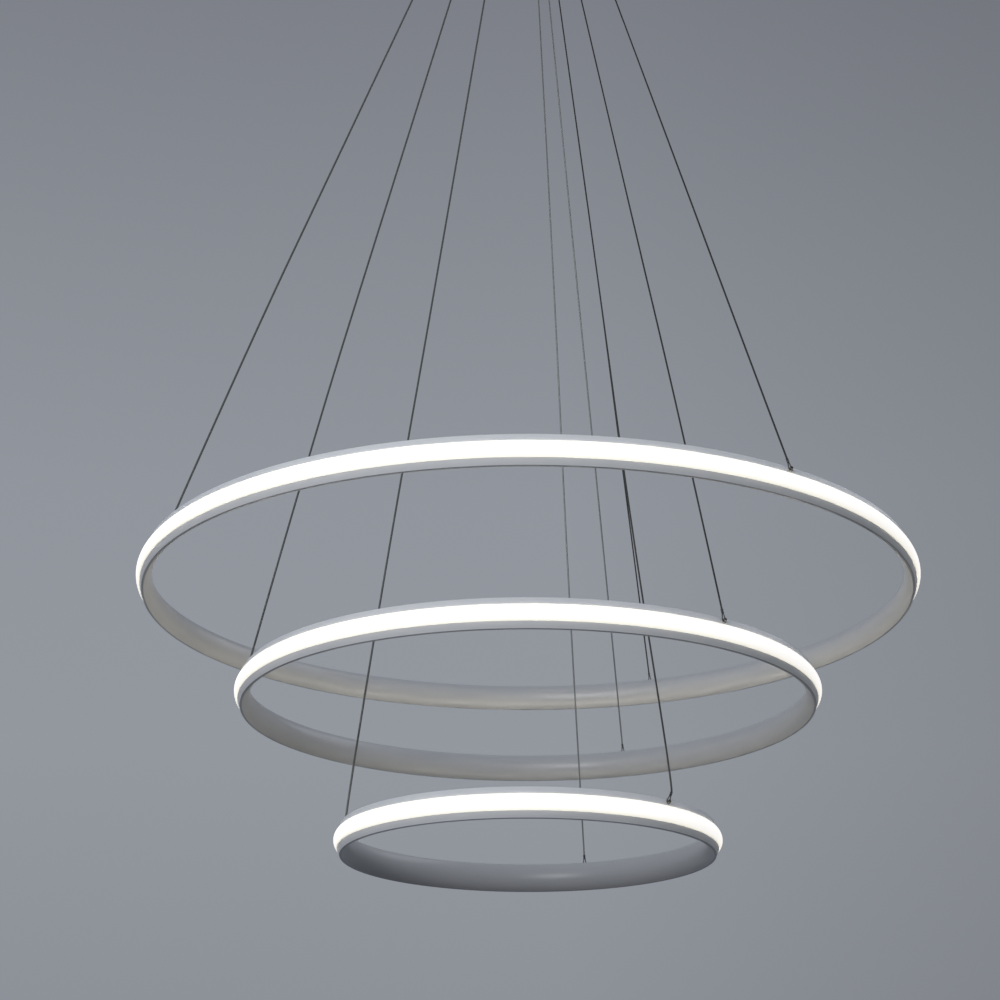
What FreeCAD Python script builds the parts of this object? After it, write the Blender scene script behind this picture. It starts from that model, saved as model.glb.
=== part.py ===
import FreeCAD, Part
import math
import os

# A ceiling light: three rings of rolled aluminium profile hang one below the other from one round canopy.
# Each ring is white, shines outwards through an opal diffuser, and hangs from two thin steel wires and one
# clear-jacketed feed cable, which also carries its current. All nine lines spread from one point above the
# ceiling, where their directions meet, through nine cable grips under the canopy.
#
# Millimetres. The origin is the centre of the canopy's rim, on the ceiling. +Z is up, so the light is below
# zero. -Y is the side that the light is seen from, with +X to the right.

# ---- the hang ----
ring_names = ("large", "medium", "small")
apex_height = 55.0            # where the lines' directions meet, above the ceiling
apex_drop = {"large": 1043.0, "medium": 1151.0, "small": 1291.0}    # from there down to mid ring
rim_diameter = {"large": 756.0, "medium": 556.0, "small": 356.0}    # over the profile's sharp rims
# where the three lines meet each ring, in degrees from +X
line_angle = {
    "feed": {"large": -150.0, "medium": -165.0, "small": -169.0},
    "right": {"large": -53.8, "medium": -52.2, "small": -46.0},
    "far": {"large": 68.0, "medium": 68.0, "small": 71.0},
}

# ---- ring profile and diffuser ----
profile_height = 28.2         # rim to rim
lip_rake = 3.0                # the outer lips lean out this far from rim to diffuser
diffuser_height = 14.8
diffuser_crown = 3.4          # how far the diffuser bulges out past the lips
diffuser_facets = 4           # the bulge is made of this many flats on one arc
inner_crown = 9.0             # the inner side bulges this far in from the rims
inner_facets = 4

# ---- wire ends on the rings ----
wire_diameter = 1.5
feed_diameter = 2.0
seat_gap = 0.3                # fittings stand this far off the profile's round flanks
loop_strand = 1.0             # thickness of the strand that loops round each stud
loop_eye = 3.0                # clear width of the loop at the stud
loop_length = 7.0             # stud centre to sleeve
loop_neck = 2.4               # width of the loop where it enters the sleeve
loop_standoff = 1.5           # loop's middle plane, out from the lip
stud_flats = 2.2
stud_clearance = 0.3          # stud's head to the loop
stud_head_flats = 3.4
stud_head_thickness = 0.8
sleeve_flats = 2.4            # crimped to a hexagon
sleeve_length = 4.5
small_right_lean = 0.6        # this one fitting leans to its right along the ring, as a share of its length
small_right_tail = 5.0        # wire above its sleeve, up to the bend's corner
small_right_bend = 8.0        # bend radius
gland_flats = 5.0
gland_height = 4.0

# ---- canopy ----
canopy_diameter = 220.0
canopy_depth = 45.0
canopy_wall = 1.2
canopy_chamfer = 1.2
bracket_length = 190.0
bracket_width = 24.0
bracket_thickness = 2.0
slot_spacing = 110.0          # ceiling screw slots, centre to centre
slot_width = 5.0
slot_length = 18.0
bolt_spacing = 172.0          # the two studs that hold the canopy
bolt_diameter = 4.0
bolt_clearance = 0.25         # in the canopy's hole, all round
bolt_reach = 6.0              # below the canopy's floor
cap_flats = 7.0
cap_height = 9.0
grip_flats = 7.0
grip_height = 10.0
wire_clearance = 0.5          # the lines end this far short of their grips, so that they slide freely

# ---- inside the canopy ----
driver_length = 110.0
driver_width = 36.0
driver_height = 24.0
driver_edge = 2.5
driver_offset = 68.0          # driver centre line from the light's centre
terminal_length = 34.0
terminal_width = 17.0
terminal_height = 14.0
terminal_offset = 64.0
terminal_step = 5.0           # the wire entries' ledge along the block

# ---- worked out ----
floor_z = -canopy_depth
floor_top_z = floor_z + canopy_wall
mouth_z = floor_z - grip_height
half_height = profile_height / 2
half_diffuser = diffuser_height / 2
ring_z = {name: apex_height - apex_drop[name] for name in ring_names}
rim_radius = {name: rim_diameter[name] / 2 for name in ring_names}


def vector(x, y, z):
    return FreeCAD.Vector(x, y, z)


def polar(radius, degrees, z):
    turn = math.radians(degrees)
    return vector(radius * math.cos(turn), radius * math.sin(turn), z)


def save(name, solids):
    shape = solids[0] if len(solids) == 1 else Part.makeCompound(solids)
    shape.exportStep(f"parts/{name}.step")


def turned(points, centre_z):
    # a full ring from a section in the XZ plane, given about the ring's own mid height
    outline = [vector(x, 0, z + centre_z) for x, z in points]
    face = Part.Face(Part.makePolygon(outline + outline[:1]))
    return face.revolve(vector(0, 0, 0), vector(0, 0, 1), 360)


def bulge(crown, half, facets):
    # the corners of a convex side from z = half down to -half: points on one arc, as (out, z)
    radius = (half ** 2 + crown ** 2) / (2 * crown)
    sweep = 2 * math.asin(half / radius)
    corners = []
    for k in range(facets + 1):
        angle = sweep * (0.5 - k / facets)
        corners.append((radius * math.cos(angle) - (radius - crown), radius * math.sin(angle)))
    return corners


def hexagon(foot, up, across_flats, height):
    corner = across_flats / 2 / math.cos(math.radians(30))
    points = [polar(corner, 60 * k, 0) for k in range(7)]
    bar = Part.Face(Part.makePolygon(points)).extrude(vector(0, 0, height))
    bar.Placement = FreeCAD.Placement(foot, FreeCAD.Rotation(vector(0, 0, 1), up))
    return bar


# ---- ring pieces ----
def inner_corners():
    return [(-out, z) for out, z in bulge(inner_crown, half_height, inner_facets)]


def ring_profile(name):
    rim = rim_radius[name]
    outer = [(lip_rake, -half_diffuser), (lip_rake, half_diffuser)]
    return turned([(rim + out, z) for out, z in inner_corners() + outer], ring_z[name])


def ring_diffuser(name):
    lip = rim_radius[name] + lip_rake
    corners = bulge(diffuser_crown, half_diffuser, diffuser_facets)
    return turned([(lip + out, z) for out, z in corners], ring_z[name])


# ---- where each line ends: right and far wires on the upper outer lip, feed cables on the upper inner flank ----
def lip_seat(name, angle):
    # the lip's middle at this angle, and its outward direction there
    run = math.hypot(half_height - half_diffuser, lip_rake)
    point = polar(rim_radius[name] + lip_rake / 2, angle, ring_z[name] + (half_height + half_diffuser) / 2)
    return point, polar((half_height - half_diffuser) / run, angle, lip_rake / run)


def flank_seat(name, angle):
    (out_a, z_a), (out_b, z_b) = inner_corners()[:2]
    run = math.hypot(out_a - out_b, z_a - z_b)
    point = polar(rim_radius[name] + (out_a + out_b) / 2, angle, ring_z[name] + (z_a + z_b) / 2)
    return point, polar((z_b - z_a) / run, angle, (out_a - out_b) / run)


def line_end(name, side):
    # a gland's foot, or the middle of a loop's eye
    angle = line_angle[side][name]
    if side == "feed":
        point, normal = flank_seat(name, angle)
        return point + normal * seat_gap
    point, normal = lip_seat(name, angle)
    return point + normal * loop_standoff


def grip_mouth(name, side):
    # on the straight line from the apex to the line's end
    end = line_end(name, side)
    share = (apex_height - mouth_z) / (apex_height - end.z)
    return vector(end.x * share, end.y * share, mouth_z)


def wire_top(name, side):
    mouth = grip_mouth(name, side)
    down = line_end(name, side) - mouth
    down.normalize()
    return mouth + down * wire_clearance


def line_direction(name, side):
    up = grip_mouth(name, side) - line_end(name, side)
    up.normalize()
    if (name, side) == ("small", "right"):
        up = up + polar(small_right_lean, line_angle[side][name] + 90, 0)
        up.normalize()
    return up


def cut_at(bar, point, normal):
    # the part of a bar that stands clear of a flank, by the seat gap
    size = 2 * profile_height
    block = Part.makeBox(size, size, size, vector(-size / 2, -size / 2, -size))
    turn = FreeCAD.Rotation(vector(0, 0, 1), normal)
    block.Placement = FreeCAD.Placement(point + normal * seat_gap, turn).multiply(block.Placement)
    return bar.cut(block)


# ---- wire ends ----
def stud_axis(name, side):
    # outward, square to the line
    up = line_direction(name, side)
    out = polar(1, line_angle[side][name], 0)
    axis = out - up * out.dot(up)
    axis.normalize()
    return axis


def wire_foot(name, side):
    # a stud in the lip, with a thin head that keeps the loop on
    eye = line_end(name, side)
    axis = stud_axis(name, side)
    reach = loop_strand / 2 + stud_clearance
    shank = hexagon(eye - axis * 2 * loop_standoff, axis, stud_flats, 2 * loop_standoff + reach)
    head = hexagon(eye + axis * reach, axis, stud_head_flats, stud_head_thickness)
    return cut_at(shank.fuse(head), *lip_seat(name, line_angle[side][name]))


def loop_outline(half_width, top_half, top):
    # half round below the stud, then narrowing to the sleeve
    points = []
    for degrees in (180, 225, 270, 315, 360):
        turn = math.radians(degrees)
        points.append(vector(0, half_width * math.cos(turn), half_width * math.sin(turn)))
    points += [vector(0, top_half, top), vector(0, -top_half, top)]
    return Part.Face(Part.makePolygon(points + points[:1]))


def wire_loop(name, side):
    outer = loop_outline(loop_eye / 2 + loop_strand, loop_neck / 2, loop_length)
    window = loop_outline(loop_eye / 2, loop_neck / 2 - loop_strand, loop_length - loop_strand)
    loop = outer.cut(window).extrude(vector(loop_strand, 0, 0))
    loop.translate(vector(-loop_strand / 2, 0, 0))
    up = line_direction(name, side)
    out = stud_axis(name, side)
    across = up.cross(out)
    eye = line_end(name, side)
    loop.Placement = FreeCAD.Placement(FreeCAD.Matrix(
        out.x, across.x, up.x, eye.x,
        out.y, across.y, up.y, eye.y,
        out.z, across.z, up.z, eye.z,
        0, 0, 0, 1)).multiply(loop.Placement)
    return loop


def wire_sleeve(name, side):
    up = line_direction(name, side)
    return hexagon(line_end(name, side) + up * loop_length, up, sleeve_flats, sleeve_length)


def feed_gland(name):
    up = line_direction(name, "feed")
    bar = hexagon(line_end(name, "feed") - up * gland_height, up, gland_flats, 2 * gland_height)
    return cut_at(bar, *flank_seat(name, line_angle["feed"][name]))


# ---- suspension wires and feed cables: straight, as their rings' weight pulls them ----
def straight_line(name, side, end_height, diameter):
    bottom = line_end(name, side) + line_direction(name, side) * end_height
    run = wire_top(name, side) - bottom
    return Part.makeCylinder(diameter / 2, run.Length, bottom, run)


def feed_cable(name):
    return straight_line(name, "feed", gland_height, feed_diameter)


def steel_wire(name, side):
    return straight_line(name, side, loop_length + sleeve_length, wire_diameter)


def bent_wire(name, side, tail, bend_radius):
    # a short straight tail along the leaning sleeve, one bend, and the long straight run
    up = line_direction(name, side)
    bottom = line_end(name, side) + up * (loop_length + sleeve_length)
    top = wire_top(name, side)
    corner = bottom + up * tail
    down = up * -1
    away = top - corner
    away.normalize()
    half_turn = (math.pi - down.getAngle(away)) / 2
    cut_back = bend_radius * math.tan(half_turn)
    inward = down + away
    inward.normalize()
    start = corner + down * cut_back
    end = corner + away * cut_back
    middle = corner + inward * (bend_radius / math.cos(half_turn) - bend_radius)
    path = Part.Wire([
        Part.LineSegment(bottom, start).toShape(),
        Part.Arc(start, middle, end).toShape(),
        Part.LineSegment(end, top).toShape(),
    ])
    section = Part.Wire(Part.makeCircle(wire_diameter / 2, bottom, up))
    wire = path.makePipeShell([section], True, False)
    wanted = math.pi * (wire_diameter / 2) ** 2 * path.Length
    print(name, side, "wire: volume against its section and length", round(wire.Volume / wanted, 5))
    return wire


# ---- canopy ----
def bolt_places():
    return [vector(side * bolt_spacing / 2, 0, 0) for side in (-1, 1)]


def canopy_dish():
    outer = canopy_diameter / 2
    inner = outer - canopy_wall
    dish = turned([
        (0, floor_z), (outer - canopy_chamfer, floor_z), (outer, floor_z + canopy_chamfer), (outer, 0),
        (inner, 0), (inner, floor_top_z), (0, floor_top_z),
    ], 0)
    for place in bolt_places():
        hole = Part.makeCylinder(bolt_diameter / 2 + bolt_clearance, 3 * canopy_wall,
                                 place + vector(0, 0, floor_z - canopy_wall))
        dish = dish.cut(hole)
    return dish


def ceiling_bracket():
    bar = Part.makeBox(bracket_length, bracket_width, bracket_thickness,
                       vector(-bracket_length / 2, -bracket_width / 2, -bracket_thickness))
    straight = slot_length - slot_width
    for side in (-1, 1):
        middle = side * slot_spacing / 2
        slot = Part.makeBox(straight, slot_width, 3 * bracket_thickness,
                            vector(middle - straight / 2, -slot_width / 2, -2 * bracket_thickness))
        for end in (-1, 1):
            slot = slot.fuse(Part.makeCylinder(slot_width / 2, 3 * bracket_thickness,
                                               vector(middle + end * straight / 2, 0, -2 * bracket_thickness)))
        bar = bar.cut(slot.removeSplitter())
    return bar


def bracket_stud(place):
    length = canopy_depth - bracket_thickness + bolt_reach
    return Part.makeCylinder(bolt_diameter / 2, length, place + vector(0, 0, -bracket_thickness - length))


def cap_nut(place):
    nut = hexagon(place + vector(0, 0, floor_z - cap_height), vector(0, 0, 1), cap_flats, cap_height)
    return nut.cut(Part.makeCylinder(bolt_diameter / 2, bolt_reach, place + vector(0, 0, floor_z - bolt_reach)))


def cable_grips():
    grips = []
    for name in ring_names:
        for side in line_angle:
            grips.append(hexagon(grip_mouth(name, side), vector(0, 0, 1), grip_flats, grip_height))
    return grips


# ---- inside the canopy ----
def driver(side):
    middle = side * driver_offset
    case = Part.makeBox(driver_length, driver_width, driver_height,
                        vector(-driver_length / 2, middle - driver_width / 2, floor_top_z))
    mid_height = floor_top_z + driver_height / 2
    top = [edge for edge in case.Edges if min(v.Z for v in edge.Vertexes) > mid_height]
    return case.makeChamfer(driver_edge, top)


def terminal_block():
    corner = vector(terminal_offset - terminal_width / 2, -terminal_length / 2, floor_top_z)
    block = Part.makeBox(terminal_width, terminal_length, terminal_height, corner)
    ledge = Part.makeBox(terminal_step, terminal_length, terminal_height, corner + vector(0, 0, terminal_step))
    return block.cut(ledge)


os.makedirs("parts", exist_ok=True)

for name in ring_names:
    save(f"{name}_ring_profile", [ring_profile(name)])
    save(f"{name}_diffuser", [ring_diffuser(name)])
    save(f"{name}_wire_feet", [wire_foot(name, side) for side in ("right", "far")])
    save(f"{name}_wire_loops", [wire_loop(name, side) for side in ("right", "far")])
    save(f"{name}_wire_sleeves", [wire_sleeve(name, side) for side in ("right", "far")])
    save(f"{name}_feed_gland", [feed_gland(name)])
    save(f"{name}_feed_cable", [feed_cable(name)])
    save(f"{name}_far_wire", [steel_wire(name, "far")])
save("large_right_wire", [steel_wire("large", "right")])
save("medium_right_wire", [steel_wire("medium", "right")])
save("small_right_wire", [bent_wire("small", "right", small_right_tail, small_right_bend)])

save("canopy_dish", [canopy_dish()])
save("ceiling_bracket", [ceiling_bracket()])
save("bracket_studs", [bracket_stud(place) for place in bolt_places()])
save("canopy_cap_nuts", [cap_nut(place) for place in bolt_places()])
save("cable_grips", cable_grips())
save("large_ring_driver", [driver(1)])
save("lower_rings_driver", [driver(-1)])
save("terminal_block", [terminal_block()])
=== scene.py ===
import math

import bmesh
import bpy
from mathutils import Matrix, Vector


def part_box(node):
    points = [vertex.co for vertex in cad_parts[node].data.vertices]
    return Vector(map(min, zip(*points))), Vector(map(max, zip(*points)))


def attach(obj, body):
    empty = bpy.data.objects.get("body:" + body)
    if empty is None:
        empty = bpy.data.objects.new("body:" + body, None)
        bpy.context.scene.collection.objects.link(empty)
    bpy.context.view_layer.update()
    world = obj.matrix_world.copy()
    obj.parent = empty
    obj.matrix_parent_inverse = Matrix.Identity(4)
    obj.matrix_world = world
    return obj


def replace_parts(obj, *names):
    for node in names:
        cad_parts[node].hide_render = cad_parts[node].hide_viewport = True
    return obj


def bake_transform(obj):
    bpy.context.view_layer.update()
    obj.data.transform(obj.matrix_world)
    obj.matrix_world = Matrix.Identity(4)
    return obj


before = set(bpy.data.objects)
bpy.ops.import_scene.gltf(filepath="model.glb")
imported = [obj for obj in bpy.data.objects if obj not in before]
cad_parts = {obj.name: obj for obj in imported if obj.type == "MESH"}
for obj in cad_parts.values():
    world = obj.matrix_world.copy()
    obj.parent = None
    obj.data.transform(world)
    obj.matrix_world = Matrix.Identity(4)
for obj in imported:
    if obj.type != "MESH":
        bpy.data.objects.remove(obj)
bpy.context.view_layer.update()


# ---- The view ----
# The light is seen from the front and from below, by someone who stands back from it and looks up at about
# 21 degrees through a longish lens, turned by a little under a degree.
view_place = Vector((0.0, -1.8915, -1.620))
view_turn = 0.0145
view_pitch = 0.3704
view_roll = 0.0033
film_width = 36.0             # in millimetres, as is the lens
lens_length = 72.0
camera = bpy.data.objects.new("view", bpy.data.cameras.new("view"))
camera.data.sensor_width = film_width
camera.data.lens = lens_length
camera.matrix_world = (Matrix.Translation(view_place)
                       @ Matrix.Rotation(view_turn, 4, "Z")
                       @ Matrix.Rotation(math.pi / 2 + view_pitch, 4, "X")
                       @ Matrix.Rotation(view_roll, 4, "Z"))
bpy.context.scene.collection.objects.link(camera)
bpy.context.scene.camera = camera


# ---- Suspension wires and feed cables ----
# Each ring hangs from two steel ropes, six strands laid round a core, and from one clear-jacketed cable of
# two tinned cores that also feeds it. All leave cable grips under the canopy and are pulled straight by the
# ring's weight, apart from the last small bow that such thin lines keep from the reel.
body_of = {"large": "large_ring", "medium": "medium_ring", "small": "small_ring"}
rope_lay = 0.0115
strand_crown = 0.00088        # the strands' crowns, out from the rope's middle
rope_valley = 0.88            # the valleys between the strands, as a share of that
rope_sides = 12               # six crowns and six valleys
rope_steps = 200              # places read from each stretch of a rope's route
ridge_angle = 80.0            # strands and threads are shaded round over turns of up to this many degrees
cable_diameter = 0.0020
cable_sides = 16
cable_steps = 55
core_diameter = 0.00062
core_spacing = 0.00072
core_lay = 0.0085
core_sides = 8
core_steps = 300
pale_ropes = [("medium", "far"), ("small", "far")]    # these two are drawn lighter than the others

# the points that pull each line's route, from the ring up to the canopy, in metres
lines = {
    ("large", "feed"): [(-0.3232, -0.1866, -0.9728), (-0.2676, -0.1523, -0.7838),
                        (-0.2005, -0.1141, -0.5738), (-0.0337, -0.0195, -0.0522)],
    ("large", "right"): [(0.2226, -0.3041, -0.9659), (0.1852, -0.2534, -0.7956),
                         (0.1435, -0.1956, -0.6017), (0.0234, -0.0319, -0.0522)],
    ("large", "far"): [(0.1412, 0.3494, -0.9659), (0.1089, 0.2653, -0.7200),
                       (0.0760, 0.1805, -0.4724), (0.0148, 0.0367, -0.0522)],
    ("medium", "feed"): [(-0.2643, -0.0708, -1.0807), (-0.2147, -0.0563, -0.8479),
                         (-0.1535, -0.0402, -0.5906), (-0.0249, -0.0067, -0.0521)],
    ("medium", "right"): [(0.1705, -0.2198, -1.0735), (0.1405, -0.1785, -0.8617),
                          (0.1026, -0.1315, -0.6205), (0.0162, -0.0209, -0.0521)],
    ("medium", "far"): [(0.1042, 0.2579, -1.0735), (0.0798, 0.1967, -0.8057),
                        (0.0536, 0.1334, -0.5289), (0.0099, 0.0245, -0.0521)],
    ("small", "feed"): [(-0.1708, -0.0332, -1.2206), (-0.1712, -0.0320, -1.2130),
                        (-0.1373, -0.0261, -0.9468), (-0.0940, -0.0180, -0.6392),
                        (-0.0143, -0.0028, -0.0520)],
    ("small", "right"): [(0.1289, -0.1250, -1.2149), (0.1304, -0.1228, -1.2106),
                         (0.0994, -0.0977, -0.9507), (0.0714, -0.0691, -0.6550),
                         (0.0105, -0.0109, -0.0520)],
    ("small", "far"): [(0.0584, 0.1695, -1.2133), (0.0428, 0.1299, -0.9169),
                       (0.0308, 0.0875, -0.5996), (0.0049, 0.0143, -0.0520)],
}


def read_route(points, steps):
    # the smooth line that the route's points pull, as close points from the ring to the canopy
    curve = bpy.data.curves.new("route", "CURVE")
    curve.dimensions = "3D"
    spline = curve.splines.new("NURBS")
    spline.points.add(len(points) - 1)
    for point, place in zip(spline.points, points):
        point.co = (*place, 1.0)
    spline.order_u = 3
    spline.use_endpoint_u = True
    spline.resolution_u = steps
    holder = bpy.data.objects.new("route", curve)
    read = bpy.data.meshes.new_from_object(holder)
    places = [vertex.co.copy() for vertex in read.vertices]
    bpy.data.objects.remove(holder)
    bpy.data.curves.remove(curve)
    bpy.data.meshes.remove(read)
    return places


def tube(centres, radius, sides, across, lay=None, valley=1.0, aside=0.0, start=0.0):
    # rings of points round a line; with a lay the section turns as it goes, and may stand aside of the line
    rings, run = [], 0.0
    for i, centre in enumerate(centres):
        before, after = centres[max(i - 1, 0)], centres[min(i + 1, len(centres) - 1)]
        run += (centre - before).length
        along = (after - before).normalized()
        side = along.cross(across).normalized()
        front = side.cross(along)
        turn = start + (2 * math.pi * run / lay if lay else 0.0)
        middle = centre + (side * math.cos(turn) + front * math.sin(turn)) * aside
        ring = []
        for k in range(sides):
            angle = turn + 2 * math.pi * k / sides
            reach = radius * (valley if k % 2 else 1.0)
            ring.append(middle + (side * math.cos(angle) + front * math.sin(angle)) * reach)
        rings.append(ring)
    return rings


fully_rubbed_bend = 0.6       # an edge that turns by this many radians takes all the rubbing


def piece(name, skins, material, body=None, looped=False, sharp=35.0):
    # one object from one or more skins, each a row of rings of points that are joined in order and capped
    mesh = bpy.data.meshes.new(name)
    corners, faces, spots = [], [], []
    for rings in skins:
        first, count, run = len(corners), len(rings[0]), [0.0]
        for ring, following in zip(rings, rings[1:] + rings[:1]):
            run.append(run[-1] + (following[0] - ring[0]).length)
            corners.extend(ring)
        for i in range(len(rings) if looped else len(rings) - 1):
            low, high = first + i * count, first + (i + 1) % len(rings) * count
            for k in range(count):
                following = (k + 1) % count
                faces.append((low + k, low + following, high + following, high + k))
                spots.append([(k / count, run[i]), ((k + 1) / count, run[i]),
                              ((k + 1) / count, run[i + 1]), (k / count, run[i + 1])])
        if not looped:
            for ring_start in (first, first + (len(rings) - 1) * count):
                faces.append(tuple(range(ring_start, ring_start + count)))
                spots.append([(k / count, 0.0) for k in range(count)])
    mesh.from_pydata(corners, [], faces)
    layer = mesh.uv_layers.new(name="around_and_along")
    layer.data.foreach_set("uv", [value for face in spots for spot in face for value in spot])
    work = bmesh.new()
    work.from_mesh(mesh)
    bmesh.ops.recalc_face_normals(work, faces=work.faces)
    edge = work.verts.layers.float.new("edge")
    for corner in work.verts:
        bend = max(side.calc_face_angle(0.0) for side in corner.link_edges)
        corner[edge] = min(1.0, bend / fully_rubbed_bend)
    work.to_mesh(mesh)
    work.free()
    mesh.shade_smooth()
    mesh.set_sharp_from_angle(angle=math.radians(sharp))
    mesh.materials.append(material)
    made = bpy.data.objects.new(name, mesh)
    bpy.context.scene.collection.objects.link(made)
    if body:
        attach(made, body)
    return made


def put(tree, kind, inputs, **settings):
    # a node in a tree, each input either set to a value or joined to another node's output
    node = tree.nodes.new("ShaderNode" + kind)
    for name, value in settings.items():
        setattr(node, name, value)
    for name, value in inputs.items():
        if isinstance(value, bpy.types.NodeSocket):
            tree.links.new(value, node.inputs[name])
        else:
            node.inputs[name].default_value = value
    return node


def mixed(tree, share, a, b, blend="MIX"):
    # the first colour where the share is 0 and the second where it is 1
    return put(tree, "Mix", {0: share, 6: a, 7: b}, data_type="RGBA", blend_type=blend).outputs[2]


def sums(tree, operation, a, b=0.0, clamp=False):
    # one value worked out from two by the operation named
    return put(tree, "Math", {0: a, 1: b}, operation=operation, use_clamp=clamp).outputs[0]


def spread(tree, value, low, high, at_low=0.0, at_high=1.0):
    # a value carried evenly from one range to another, and no further
    given = {0: value, 1: low, 2: high, 3: at_low, 4: at_high}
    return put(tree, "MapRange", given).outputs[0]


# what use does to every finish here: a fine grain, faint clouding, rubbed edges and a little dust on top
cloud_scale = 14.0
patch_scale = 160.0
grime = (0.12, 0.12, 0.13, 1)
dust_grey = (0.42, 0.41, 0.39, 1)
patchiness = 0.16             # how far the roughness strays from patch to patch
rubbed_patches = (0.42, 0.62)
dusty_slopes = (0.35, 0.95)   # how far upwards a face looks where dust starts to lie and where it lies fully
worn_finish = bpy.data.node_groups.new("worn finish", "ShaderNodeTree")
for socket in ("Color", "Rubbed"):
    worn_finish.interface.new_socket(socket, in_out="INPUT", socket_type="NodeSocketColor")
for socket in ("Roughness", "Grain", "Clouding", "Rub", "Dust"):
    worn_finish.interface.new_socket(socket, in_out="INPUT", socket_type="NodeSocketFloat")
worn_finish.interface.new_socket("Color", in_out="OUTPUT", socket_type="NodeSocketColor")
for socket in ("Roughness", "Height"):
    worn_finish.interface.new_socket(socket, in_out="OUTPUT", socket_type="NodeSocketFloat")
tree = worn_finish
given = tree.nodes.new("NodeGroupInput").outputs
place = put(tree, "TexCoord", {}).outputs["Object"]
grain = put(tree, "TexNoise", {"Vector": place, "Scale": given["Grain"], "Detail": 3.0}).outputs["Fac"]
clouds = put(tree, "TexNoise", {"Vector": place, "Scale": cloud_scale, "Detail": 4.0}).outputs["Fac"]
patches = put(tree, "TexNoise", {"Vector": place, "Scale": patch_scale, "Detail": 5.0}).outputs["Fac"]
edges = put(tree, "Attribute", {}, attribute_name="edge").outputs["Fac"]
in_patches = spread(tree, patches, *rubbed_patches)
rubbed = sums(tree, "MULTIPLY", sums(tree, "MULTIPLY", edges, given["Rub"]), in_patches)
facing = put(tree, "NewGeometry", {}).outputs["Normal"]
upward = put(tree, "SeparateXYZ", {0: facing}).outputs["Z"]
lies_flat = spread(tree, upward, *dusty_slopes)
dust = sums(tree, "MULTIPLY", given["Dust"], sums(tree, "ADD", patches, 0.5))
settled = sums(tree, "MULTIPLY", lies_flat, dust, clamp=True)
clouded = mixed(tree, sums(tree, "MULTIPLY", given["Clouding"], clouds), given["Color"], grime)
worn = mixed(tree, rubbed, clouded, given["Rubbed"])
dusted = mixed(tree, settled, worn, dust_grey)
strays = sums(tree, "MULTIPLY", sums(tree, "SUBTRACT", patches, 0.5), patchiness)
rough = sums(tree, "ADD", given["Roughness"], strays)
dulled = sums(tree, "ADD", rough, sums(tree, "MULTIPLY", settled, 0.5), clamp=True)
given_out = tree.nodes.new("NodeGroupOutput").inputs
tree.links.new(dusted, given_out["Color"])
tree.links.new(dulled, given_out["Roughness"])
tree.links.new(grain, given_out["Height"])


def finish(name, colour, roughness, rubbed=None, grain=900.0, clouding=0.10, rub=0.4, dust=0.12,
           bump=0.00001, **shader):
    # a material with the worn finish on it; what is the same all over is set on the shader itself
    material = bpy.data.materials.new(name)
    material.use_nodes = True
    tree = material.node_tree
    principled = tree.nodes["Principled BSDF"]
    surface = tree.nodes.new("ShaderNodeGroup")
    surface.node_tree = worn_finish
    asked = {"Color": (*colour, 1), "Rubbed": (*(rubbed or colour), 1), "Roughness": roughness,
             "Grain": grain, "Clouding": clouding, "Rub": rub, "Dust": dust}
    for socket, value in asked.items():
        surface.inputs[socket].default_value = value
    tree.links.new(surface.outputs["Color"], principled.inputs["Base Color"])
    tree.links.new(surface.outputs["Roughness"], principled.inputs["Roughness"])
    relief = put(tree, "Bump", {"Height": surface.outputs["Height"], "Distance": bump, "Strength": 1.0})
    tree.links.new(relief.outputs["Normal"], principled.inputs["Normal"])
    for socket, value in shader.items():
        principled.inputs[socket.replace("_", " ")].default_value = value
    return material


rope_steel = finish("rope steel", (0.080, 0.077, 0.068), 0.42, grain=2500.0, clouding=0.3, rub=0.2,
                    dust=0.0, Metallic=0.8)
pale_rope = finish("paler rope steel", (0.30, 0.31, 0.295), 0.40, grain=2500.0, clouding=0.3, rub=0.2,
                   dust=0.0, Metallic=0.8)
tinned_core = finish("tinned core", (0.05, 0.05, 0.045), 0.35, grain=3000.0, clouding=0.2, dust=0.0,
                     Metallic=0.7)
clear_jacket = finish("clear jacket", (0.17, 0.18, 0.165), 0.20, grain=1200.0, dust=0.0,
                      Transmission_Weight=0.35, IOR=1.45)

for (ring, side), points in lines.items():
    centres = read_route(points, cable_steps if side == "feed" else rope_steps)
    across = Vector((0, 1, 0)) if side == "right" else Vector((1, 0, 0))
    body = body_of[ring]
    if side == "feed":
        jacket = tube(centres, cable_diameter / 2, cable_sides, across)
        line = piece(f"{ring}_feed_jacket", [jacket], clear_jacket)
        close = read_route(points, core_steps)
        cores = [tube(close, core_diameter / 2, core_sides, across, core_lay, 1.0, core_spacing / 2, start)
                 for start in (0.0, math.pi)]
        inside = piece(f"{ring}_feed_cores", cores, tinned_core)
        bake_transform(inside)
        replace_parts(line, f"{ring}_feed_cable")
    else:
        strands = tube(centres, strand_crown, rope_sides, across, rope_lay, rope_valley)
        steel = pale_rope if (ring, side) in pale_ropes else rope_steel
        line = piece(f"{ring}_{side}_rope", [strands], steel, sharp=ridge_angle)
        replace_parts(line, f"{ring}_{side}_wire")
    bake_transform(line)


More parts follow.
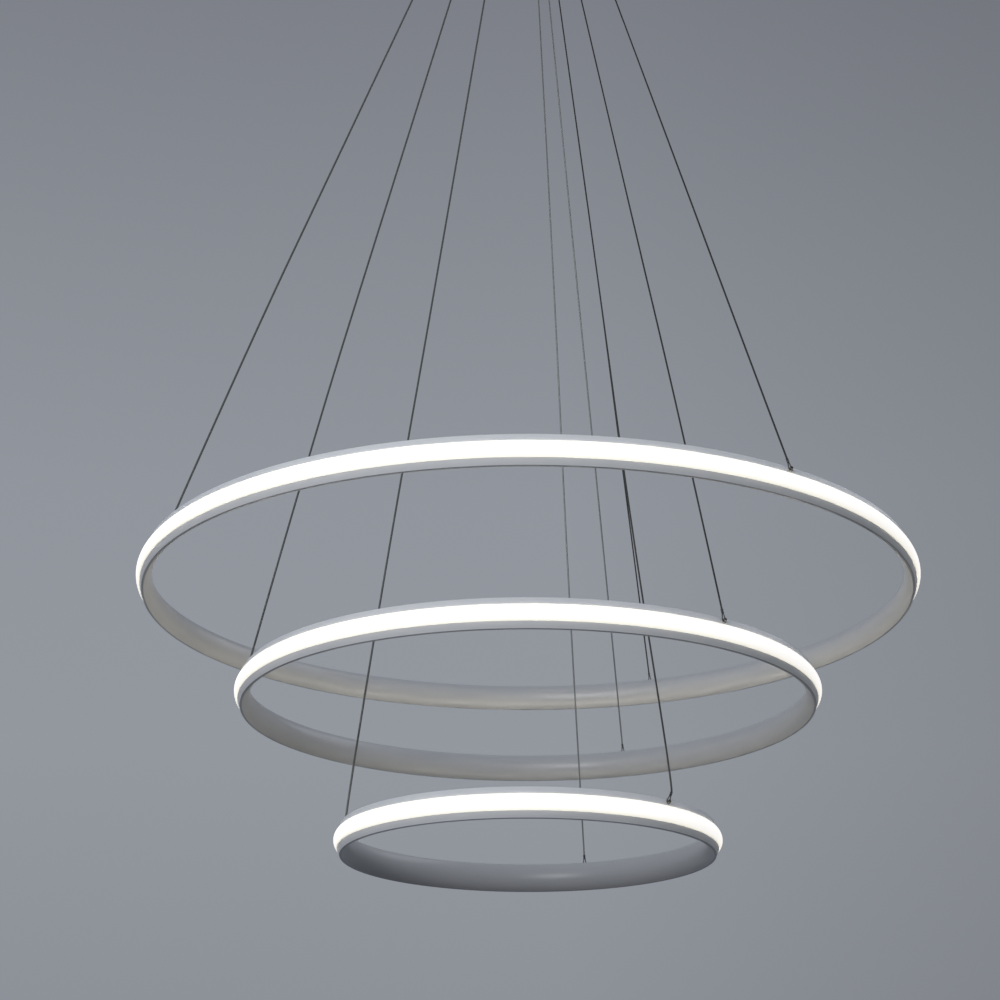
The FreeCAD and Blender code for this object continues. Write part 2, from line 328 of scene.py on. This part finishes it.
# ---- Ring profiles ----
# Each ring is one length of extruded aluminium, rolled to a circle and coated satin white. Its inner side is
# a shallow bow, and two raked lips on the outer side hold the diffuser between them.
rim_radius = {"large": 0.378, "medium": 0.278, "small": 0.178}
ring_height = {"large": -0.988, "medium": -1.096, "small": -1.236}
ring_steps = {"large": 360, "medium": 300, "small": 240}
half_profile = 0.0141
half_diffuser = 0.0074
lip_rake = 0.0030
inner_crown = 0.0090
inner_steps = 22
land_inside = 0.0016          # each rim is a narrow flat land, from this far inside the rim's own circle
land_outside = 0.0003         # to this far outside it
rim_round = 0.0003
round_steps = 5
flat_guard = 0.0004           # beside a rounded corner, the flats get a point this far away and stay flat
hair = 0.0001                 # points closer than this lie on the same face
# the two lips are drawn lighter than the inner side by this factor
lip_lightening = (1.54, 1.55, 1.56, 1)
# painted shade: the lower rim's land is darkened by this factor
painted_rim_shade = (0.56, 0.58, 0.62, 1)


def bow(crown, half, steps):
    # points of a shallow arc from its upper end to its lower end, as (out, height)
    radius = (half ** 2 + crown ** 2) / (2 * crown)
    sweep = 2 * math.asin(half / radius)
    angles = [sweep * (0.5 - k / steps) for k in range(steps + 1)]
    return [(radius * math.cos(a) - (radius - crown), radius * math.sin(a)) for a in angles]


def eased(corners, rounds):
    # a closed outline whose named corners are rounded
    outline = []
    for i, corner in enumerate(corners):
        here = Vector(corner)
        if i not in rounds:
            outline.append(corner)
            continue
        back = (Vector(corners[i - 1]) - here).normalized()
        on = (Vector(corners[(i + 1) % len(corners)]) - here).normalized()
        half = back.angle(on) / 2
        radius = rounds[i]
        centre = here + (back + on).normalized() * radius / math.sin(half)
        reach = radius / math.tan(half)
        outline.append(tuple(here + back * (reach + flat_guard)))
        begins, ends = here + back * reach - centre, here + on * reach - centre
        turn = begins.angle_signed(ends)
        for k in range(round_steps + 1):
            step = begins.copy()
            step.rotate(Matrix.Rotation(-turn * k / round_steps, 2))
            outline.append(tuple(centre + step))
        outline.append(tuple(here + on * (reach + flat_guard)))
    return outline


def rolled(outline, radius, height, steps):
    # the outline carried once round the ring's own axis
    rings = []
    for k in range(steps):
        turn = 2 * math.pi * k / steps
        rings.append([Vector(((radius + out) * math.cos(turn), (radius + out) * math.sin(turn), height + up))
                      for out, up in outline])
    return rings


def between(tree, value, low, high):
    # 1 where the value lies between the two, else 0
    above = sums(tree, "GREATER_THAN", value, low)
    return sums(tree, "MULTIPLY", above, sums(tree, "LESS_THAN", value, high))


inner_bow = bow(inner_crown - land_inside, half_profile, inner_steps)
inner_side = [(-land_inside - out, up) for out, up in inner_bow]
outer_side = [(land_outside, -half_profile), (lip_rake, -half_diffuser), (lip_rake, half_diffuser),
              (land_outside, half_profile)]
section = inner_side + outer_side
rounded = [0] + list(range(len(inner_side) - 1, len(section)))
section = eased(section, {corner: rim_round for corner in rounded})

# the inner side keeps a plain satin coat and the two lips are drawn lighter than it; the lower rim's land is
# darkened as painted shade, for the dark line of shadow that it shows as it faces down
satin_coat = finish("satin coat", (0.50, 0.505, 0.515), 0.36, rubbed=(0.54, 0.54, 0.54), grain=1400.0,
                    clouding=0.06, rub=0.2, dust=0.06, Coat_Weight=0.15, Coat_Roughness=0.25)
tree = satin_coat.node_tree
principled = tree.nodes["Principled BSDF"]
coat = principled.inputs["Base Color"].links[0].from_socket
around = put(tree, "SeparateXYZ", {0: put(tree, "TexCoord", {}).outputs["UV"]}).outputs["X"]
past_land = [out > land_outside + hair for out, up in section]
at_foot = [up < hair - half_profile for out, up in section]
lip_begins = past_land.index(True) / len(section)
lip_ends = 1 - past_land[::-1].index(True) / len(section)
land_begins = at_foot.index(True) / len(section)
on_lip = between(tree, around, lip_begins, lip_ends)
on_land = between(tree, around, land_begins, lip_begins)
lip_colour = mixed(tree, 1.0, coat, lip_lightening, "MULTIPLY")
# painted shade: the lower rim's land is darkened, for the shadow along it as it faces down
shaded_land_colour = mixed(tree, 1.0, coat, painted_rim_shade, "MULTIPLY")
coat_with_rim_shade = mixed(tree, on_land, mixed(tree, on_lip, coat, lip_colour), shaded_land_colour)
tree.links.new(coat_with_rim_shade, principled.inputs["Base Color"])

for ring, body in body_of.items():
    round_ring = rolled(section, rim_radius[ring], ring_height[ring], ring_steps[ring])
    profile = piece(f"{ring}_rolled_profile", [round_ring], satin_coat, body, looped=True)
    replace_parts(profile, f"{ring}_ring_profile")


# ---- Opal diffusers ----
# A domed strip of opal plastic snaps between the lips all round each ring. The light strip behind it makes
# it glow an even warm white, a little weaker and yellower right beside the lips, where less gets through.
diffuser_crown = 0.0034
diffuser_root = 0.0010
dome_steps = 20
cast_glow = (10.8, 9.9, 8.1, 1)      # what it sheds on the rings round it
seen_glow = (0.84, 0.82, 0.79, 1)    # what the eye or a camera makes of it at the exposure of the room
side_glow = (0.80, 0.76, 0.64, 1)
edge_glow = (0.50, 0.45, 0.36, 1)
side_band = (0.45, 0.92)             # shares of the way from the strip's middle to a lip
edge_band = (0.92, 1.0)


def fade(tree, value, low, high):
    # 0 below the one, 1 above the other, and a soft step between them
    return put(tree, "MapRange", {0: value, 1: low, 2: high}, interpolation_type="SMOOTHSTEP").outputs[0]


def rays(tree, *kinds):
    # 1 for a ray of one of these kinds, else 0
    path = put(tree, "LightPath", {}).outputs
    share = path[kinds[0]]
    for kind in kinds[1:]:
        share = sums(tree, "ADD", share, path[kind], clamp=True)
    return share


dome = bow(diffuser_crown, half_diffuser, dome_steps)
strip = [(lip_rake + out, up) for out, up in dome] + [(lip_rake - diffuser_root, -half_diffuser),
                                                     (lip_rake - diffuser_root, half_diffuser)]
dome_share = len(dome) / len(strip)

opal = bpy.data.materials.new("lit opal")
opal.use_nodes = True
tree = opal.node_tree
principled = tree.nodes["Principled BSDF"]
principled.inputs["Roughness"].default_value = 0.38
principled.inputs["Emission Strength"].default_value = 1.0
around = put(tree, "SeparateXYZ", {0: put(tree, "TexCoord", {}).outputs["UV"]}).outputs["X"]
from_edge = sums(tree, "DIVIDE", around, dome_share / 2)
from_middle = sums(tree, "ABSOLUTE", sums(tree, "SUBTRACT", from_edge, 1.0))
where = put(tree, "TexCoord", {}).outputs["Object"]
drift = put(tree, "TexNoise", {"Vector": where, "Scale": 30.0, "Detail": 2.0}).outputs["Fac"]
uneven = mixed(tree, drift, (0.98, 0.975, 0.965, 1), (1.02, 1.02, 1.02, 1))
to_side = mixed(tree, fade(tree, from_middle, *side_band), seen_glow, side_glow)
across_strip = mixed(tree, 1.0, to_side, uneven, "MULTIPLY")
seen_side = mixed(tree, fade(tree, from_middle, *edge_band), across_strip, edge_glow)
glow = mixed(tree, rays(tree, "Is Camera Ray"), cast_glow, seen_side)
tree.links.new(glow, principled.inputs["Emission Color"])
milky = mixed(tree, drift, (0.80, 0.79, 0.75, 1), (0.84, 0.83, 0.80, 1))
tree.links.new(milky, principled.inputs["Base Color"])
fine = put(tree, "TexNoise", {"Vector": where, "Scale": 2200.0}).outputs["Fac"]
relief = put(tree, "Bump", {"Height": fine, "Distance": 0.000008})
tree.links.new(relief.outputs["Normal"], principled.inputs["Normal"])

for ring, body in body_of.items():
    round_ring = rolled(strip, rim_radius[ring], ring_height[ring], ring_steps[ring])
    diffuser = piece(f"{ring}_opal_strip", [round_ring], opal, body, looped=True)
    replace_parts(diffuser, f"{ring}_diffuser")


# ---- Wire ends on the rings ----
# Each steel rope ends in a crimped ferrule, and its strand goes on as a small eye round a black stud that is
# screwed into the upper lip. Each feed cable goes through a tapered rubber gland in the inner flank.
ferrule_length = 0.0045
ferrule_sides = 20
eye_to_ferrule = 0.0070
eye_strand = 0.0010
eye_lay = 0.0062
eye_bend = 0.0020             # radius of the strand's middle round the stud
eye_neck = 0.0007             # half the strands' spacing where they enter the ferrule
eye_tail = 0.0008             # how far they go on inside it
eye_steps = 16
strand_step = 0.0005

# turned and crimped shapes, as (height, radius), with a third word where that level is a hexagon
stud_levels = [(-0.0012, 0.0011), (0.0012, 0.0011), (0.0012, 0.0016), (0.0014, 0.0017), (0.0019, 0.0016),
               (0.0023, 0.0011), (0.0024, 0.0006), (0.0020, 0.0005, "hexagon"), (0.0019, 0.0004, "hexagon")]
ferrule_levels = [(0.0, 0.0009), (0.0002, 0.0011), (0.0006, 0.0012), (0.0016, 0.0012), (0.0019, 0.0010),
                  (0.0021, 0.00092), (0.0024, 0.00092), (0.0026, 0.0010), (0.0029, 0.0012),
                  (0.0039, 0.0012), (0.0043, 0.0011), (0.0045, 0.0009)]
gland_levels = [(-0.0060, 0.0025), (-0.0030, 0.0025), (-0.0027, 0.0024), (-0.0024, 0.0018),
                (-0.0020, 0.0018), (-0.0018, 0.0022), (-0.0014, 0.0021), (-0.0011, 0.0016),
                (-0.0008, 0.0016), (-0.0006, 0.0018), (-0.0003, 0.0016), (0.0, 0.0012)]


def spun(foot, up, levels, sides=24):
    # rings of points about an axis, one for each level
    side = up.orthogonal().normalized()
    front = up.cross(side)
    rings = []
    for height, radius, *hexagonal in levels:
        ring = []
        for k in range(sides):
            angle = 2 * math.pi * k / sides
            off_flat = (angle + math.pi / 6) % (math.pi / 3) - math.pi / 6
            reach = radius / math.cos(math.pi / 6 - abs(off_flat)) if hexagonal else radius
            ring.append(foot + up * height + (side * math.cos(angle) + front * math.sin(angle)) * reach)
        rings.append(ring)
    return rings


def line_directions(points):
    # the lowest point of a line, the way up along it, and the outward way square to it
    bottom = Vector(points[0])
    up = (Vector(points[1]) - bottom).normalized()
    out = Vector((bottom.x, bottom.y, 0)).normalized()
    return bottom, up, (out - up * out.dot(up)).normalized()


def eye_route(foot, eye, up, aside):
    # close points along the strand, out of the ferrule, round the stud and back into the ferrule
    bends = [foot + up * eye_tail + aside * -eye_neck, foot + aside * -eye_neck]
    for k in range(eye_steps + 1):
        turn = math.pi * k / eye_steps
        bends.append(eye + (aside * -math.cos(turn) - up * math.sin(turn)) * eye_bend)
    bends += [foot + aside * eye_neck, foot + up * eye_tail + aside * eye_neck]
    route = []
    for a, b in zip(bends, bends[1:]):
        parts = max(1, round((b - a).length / strand_step))
        route += [a.lerp(b, k / parts) for k in range(parts)]
    return route + bends[-1:]


black_steel = finish("blackened steel", (0.035, 0.035, 0.038), 0.40, rubbed=(0.11, 0.11, 0.11),
                     grain=2500.0, rub=0.5, Metallic=0.85)
nickel = finish("nickel plate", (0.36, 0.355, 0.34), 0.26, rubbed=(0.70, 0.66, 0.56), grain=2500.0,
                clouding=0.2, Metallic=1.0)
# painted shade: the ferrules' nickel is darkened well below the nickel of the grips and nuts, for the shade
# that the rope ends lie in
shade_darkened_nickel = finish("nickel darkened as painted shade", (0.070, 0.070, 0.075), 0.42, rubbed=(0.22, 0.21, 0.20), grain=2500.0,
                     clouding=0.2, Metallic=0.9)
white_rubber = finish("white gland", (0.62, 0.62, 0.60), 0.55, grain=1800.0, bump=0.00002)

for ring, body in body_of.items():
    studs, eyes, ferrules = [], [], []
    for side in ("right", "far"):
        bottom, up, out = line_directions(lines[ring, side])
        foot = bottom - up * ferrule_length
        eye = foot - up * eye_to_ferrule
        studs.append(spun(eye, out, stud_levels))
        ferrules.append(spun(foot, up, ferrule_levels, ferrule_sides))
        route = eye_route(foot, eye, up, up.cross(out))
        eyes.append(tube(route, eye_strand / 2, rope_sides, out, eye_lay, rope_valley))
    lip_studs = piece(f"{ring}_lip_studs", studs, black_steel, body)
    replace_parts(lip_studs, f"{ring}_wire_feet")
    rope_eyes = piece(f"{ring}_rope_eyes", eyes, rope_steel, body, sharp=ridge_angle)
    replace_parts(rope_eyes, f"{ring}_wire_loops")
    # the ferrules take the nickel that is darkened as painted shade
    crimped = piece(f"{ring}_ferrules", ferrules, shade_darkened_nickel, body)
    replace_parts(crimped, f"{ring}_wire_sleeves")
    bottom, up, out = line_directions(lines[ring, "feed"])
    tapered = spun(bottom, up, gland_levels)
    gland = piece(f"{ring}_cable_gland", [tapered], white_rubber, body)
    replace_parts(gland, f"{ring}_feed_gland")


# ---- Canopy ----
# A round white-coated steel dish covers the mains wiring against the ceiling. Two studs come down from its
# bracket through its floor, and a domed cap nut on each holds it up.
canopy_radius = 0.110
canopy_depth = 0.045
canopy_wall = 0.0012
pressed_round = 0.0020
inside_round = 0.0009
brim_round = 0.0005
dish_middle = 0.0005          # the floor's faces stop this short of the canopy's axis
dish_steps = 160
bolt_side = 0.086
nut_foot = -0.054
canopy_white = finish("white coated steel", (0.80, 0.805, 0.81), 0.42, rubbed=(0.84, 0.84, 0.83),
                      grain=1600.0, clouding=0.06, rub=0.5, dust=0.25, bump=0.00002,
                      Coat_Weight=0.1, Coat_Roughness=0.3)
dish = [(dish_middle, -canopy_depth), (canopy_radius, -canopy_depth), (canopy_radius, 0.0),
        (canopy_radius - canopy_wall, 0.0), (canopy_radius - canopy_wall, canopy_wall - canopy_depth),
        (dish_middle, canopy_wall - canopy_depth)]
dish = eased(dish, {1: pressed_round, 2: brim_round, 3: brim_round, 4: inside_round})
pressed = rolled(dish, 0.0, 0.0, dish_steps)
shell = piece("canopy_shell", [pressed], canopy_white, "canopy", looped=True)
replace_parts(shell, "canopy_dish")

nut_levels = [(0.0, 0.0003), (0.0001, 0.0010), (0.0005, 0.0019), (0.0011, 0.0026), (0.0019, 0.0030),
              (0.0030, 0.0032), (0.0040, 0.0032), (0.0041, 0.0033, "hexagon"), (0.0044, 0.0035, "hexagon"),
              (0.0087, 0.0035, "hexagon"), (0.0090, 0.0033, "hexagon")]
nuts = [spun(Vector((side * bolt_side, 0, nut_foot)), Vector((0, 0, 1)), nut_levels) for side in (-1, 1)]
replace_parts(piece("canopy_nuts", nuts, nickel, "canopy"), "canopy_cap_nuts")


# ---- Cable grips ----
# Nine small plated grips are screwed into the canopy's floor, close round its middle. Each has a hexagon to
# turn it by, a smooth barrel and a nose with the hole that its wire or cable slides through.
grip_mouth = -0.055
grip_levels = [(0.0022, 0.0011), (0.0002, 0.0011), (0.0, 0.0013), (0.0, 0.0019), (0.0003, 0.0022),
               (0.0030, 0.0028), (0.0032, 0.0028), (0.0033, 0.0032), (0.0060, 0.0032), (0.0062, 0.0030),
               (0.0065, 0.0030), (0.0066, 0.0033, "hexagon"), (0.0069, 0.0035, "hexagon"),
               (0.0097, 0.0035, "hexagon"), (0.0100, 0.0033, "hexagon")]
grips = []
for points in lines.values():
    top, under = Vector(points[-1]), Vector(points[-2])
    slope = (top - under) / (top.z - under.z)
    grips.append(spun(top + slope * (grip_mouth - top.z), Vector((0, 0, 1)), grip_levels))
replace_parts(piece("canopy_grips", grips, nickel, "canopy"), "cable_grips")


# ---- Inside the canopy ----
# A slotted steel bar is screwed to the ceiling and carries the two studs. The drivers that feed the rings
# and the block that joins them to the mains lie on the canopy's floor, in plain white plastic cases.
thread_foot = -0.0505
thread_length = 0.0485
thread_pitch = 0.0007
thread_root = 0.0017
thread_crest = 0.0020
case_corner = 0.0032
corner_steps = 5
zinc = finish("zinc plate", (0.42, 0.43, 0.44), 0.34, rubbed=(0.55, 0.53, 0.48), grain=700.0,
              clouding=0.5, Metallic=1.0)
case_white = finish("white case", (0.66, 0.66, 0.64), 0.48, rubbed=(0.72, 0.72, 0.70), grain=1100.0,
                    dust=0.3, bump=0.00003)

thread = []
for k in range(int(thread_length / thread_pitch)):
    height = thread_foot + k * thread_pitch
    thread += [(height, thread_root), (height + thread_pitch / 2, thread_crest)]
studs = [spun(Vector((side * bolt_side, 0, 0)), Vector((0, 0, 1)), thread) for side in (-1, 1)]
threaded = piece("threaded_studs", studs, zinc, "canopy", sharp=ridge_angle)
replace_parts(threaded, "bracket_studs")


def stacked(low, high, corner, levels):
    # rings of a round-cornered box, from levels of (height above its foot, how far it stands in)
    middle = (low + high) / 2
    half = (high - low) / 2
    rings = []
    for height, inset in levels:
        ring = []
        for quarter in range(4):
            for k in range(corner_steps + 1):
                angle = math.radians(90 * quarter + 90 * k / corner_steps)
                across = Vector((1 if quarter in (0, 3) else -1, 1 if quarter in (0, 1) else -1))
                x = middle.x + across.x * (half.x - corner) + (corner - inset) * math.cos(angle)
                y = middle.y + across.y * (half.y - corner) + (corner - inset) * math.sin(angle)
                ring.append(Vector((x, y, low.z + height)))
        rings.append(ring)
    return rings


driver_levels = [(0.0, 0.0006), (0.0006, 0.0), (0.0150, 0.0), (0.0151, 0.0004), (0.0157, 0.0004),
                 (0.0158, 0.0), (0.0215, 0.0), (0.0225, 0.0003), (0.0234, 0.0010), (0.0239, 0.0019),
                 (0.0240, 0.0028)]
for node in ("large_ring_driver", "lower_rings_driver"):
    low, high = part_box(node)
    moulded = stacked(low, high, case_corner, driver_levels)
    case = piece(f"{node}_case", [moulded], case_white, "canopy")
    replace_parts(case, node)
for node, material in (("ceiling_bracket", zinc), ("terminal_block", case_white)):
    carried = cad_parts[node]
    carried.data.materials.clear()
    carried.data.materials.append(material)


# ---- The room ----
# A pale floor far below, a soft box lamp at the front left, a weaker one high on the right, and an even grey
# surround that darkens upwards.
floor_height = -2.75
floor_reach = 14
floor_shade = (0.07, 0.068, 0.066, 1)      # what the floor throws back on the rings
floor_corners = [(x * floor_reach, y * floor_reach, floor_height)
                 for x, y in ((-1, -1), (1, -1), (1, 1), (-1, 1))]
floor_mesh = bpy.data.meshes.new("floor")
floor_mesh.from_pydata(floor_corners, [], [(0, 1, 2, 3)])
floor = bpy.data.objects.new("floor", floor_mesh)
bpy.context.scene.collection.objects.link(floor)
pale = bpy.data.materials.new("pale floor")
pale.use_nodes = True
tree = pale.node_tree
where = put(tree, "TexCoord", {}).outputs["Object"]
shade = put(tree, "TexNoise", {"Vector": where, "Scale": 1.3, "Detail": 5.0}).outputs["Fac"]
light_floor = mixed(tree, shade, (0.66, 0.665, 0.68, 1), (0.70, 0.705, 0.715, 1))
looked_at = rays(tree, "Is Camera Ray", "Is Glossy Ray")
floor_colour = mixed(tree, looked_at, floor_shade, light_floor)
tree.links.new(floor_colour, tree.nodes["Principled BSDF"].inputs["Base Color"])
tree.nodes["Principled BSDF"].inputs["Roughness"].default_value = 0.85
floor_mesh.materials.append(pale)

# the surround from below to above, first as it is seen, then as the light that it sheds
surround_greys = [(0.10, (0.262, 0.278, 0.310)), (0.24, (0.293, 0.313, 0.345)),
                  (0.36, (0.285, 0.304, 0.340)), (0.46, (0.252, 0.270, 0.302)), (0.60, (0.195, 0.205, 0.235))]
room_light = [(0.30, (0.04, 0.04, 0.045)), (0.46, (0.44, 0.455, 0.48)), (0.60, (0.42, 0.45, 0.51)),
              (1.0, (0.35, 0.39, 0.46))]
seen_fall = (1.0, 0.80)       # how much of the grey is left from the middle of the view to its right
seen_fall_at = (0.02, 0.26)
light_fall = (1.16, 0.62)     # the surround's light from the left and from the right


def ramp(tree, share, stops):
    # colours that follow one another as the share grows
    node = put(tree, "ValToRGB", {0: share})
    elements = node.color_ramp.elements
    for i, (position, colour) in enumerate((stops[0], stops[-1])):
        elements[i].position = position
        elements[i].color = (*colour, 1)
    for position, colour in stops[1:-1]:
        elements.new(position).color = (*colour, 1)
    return node.outputs[0]


def scaled(tree, colour, value):
    # a colour made lighter or darker
    return put(tree, "VectorMath", {0: colour, 3: value}, operation="SCALE").outputs[0]


world = bpy.data.worlds.new("surround")
bpy.context.scene.world = world
world.use_nodes = True
tree = world.node_tree
towards = put(tree, "SeparateXYZ", {0: put(tree, "TexCoord", {}).outputs["Generated"]}).outputs
to_right = spread(tree, towards["X"], *seen_fall_at, *seen_fall)
backdrop = scaled(tree, ramp(tree, towards["Z"], surround_greys), to_right)
how_high = put(tree, "Math", {0: towards["Z"], 1: 0.5, 2: 0.5}, operation="MULTIPLY_ADD").outputs[0]
across_room = spread(tree, towards["X"], -1.0, 1.0, *light_fall)
all_round = scaled(tree, ramp(tree, how_high, room_light), across_room)
looked_at = rays(tree, "Is Camera Ray", "Is Glossy Ray", "Is Transmission Ray")
surround = mixed(tree, looked_at, all_round, backdrop)
tree.links.new(surround, tree.nodes["Background"].inputs["Color"])

for name, place, aim, size, power, colour in (
        ("front_soft_box", (-0.85, -2.45, -0.45), (0, 0.1, -1.05), 1.1, 22.0, (0.97, 0.985, 1.0)),
        ("high_soft_box", (1.6, 1.2, 0.9), (0, 0, -1.05), 1.6, 7.0, (0.95, 0.97, 1.0))):
    lamp = bpy.data.objects.new(name, bpy.data.lights.new(name, "AREA"))
    lamp.data.size = size
    lamp.data.energy = power
    lamp.data.color = colour
    lamp.location = place
    lamp.rotation_euler = (Vector(aim) - Vector(place)).to_track_quat("-Z", "Y").to_euler()
    lamp.visible_camera = False
    bpy.context.scene.collection.objects.link(lamp)
bpy.context.scene.view_settings.view_transform = "Standard"
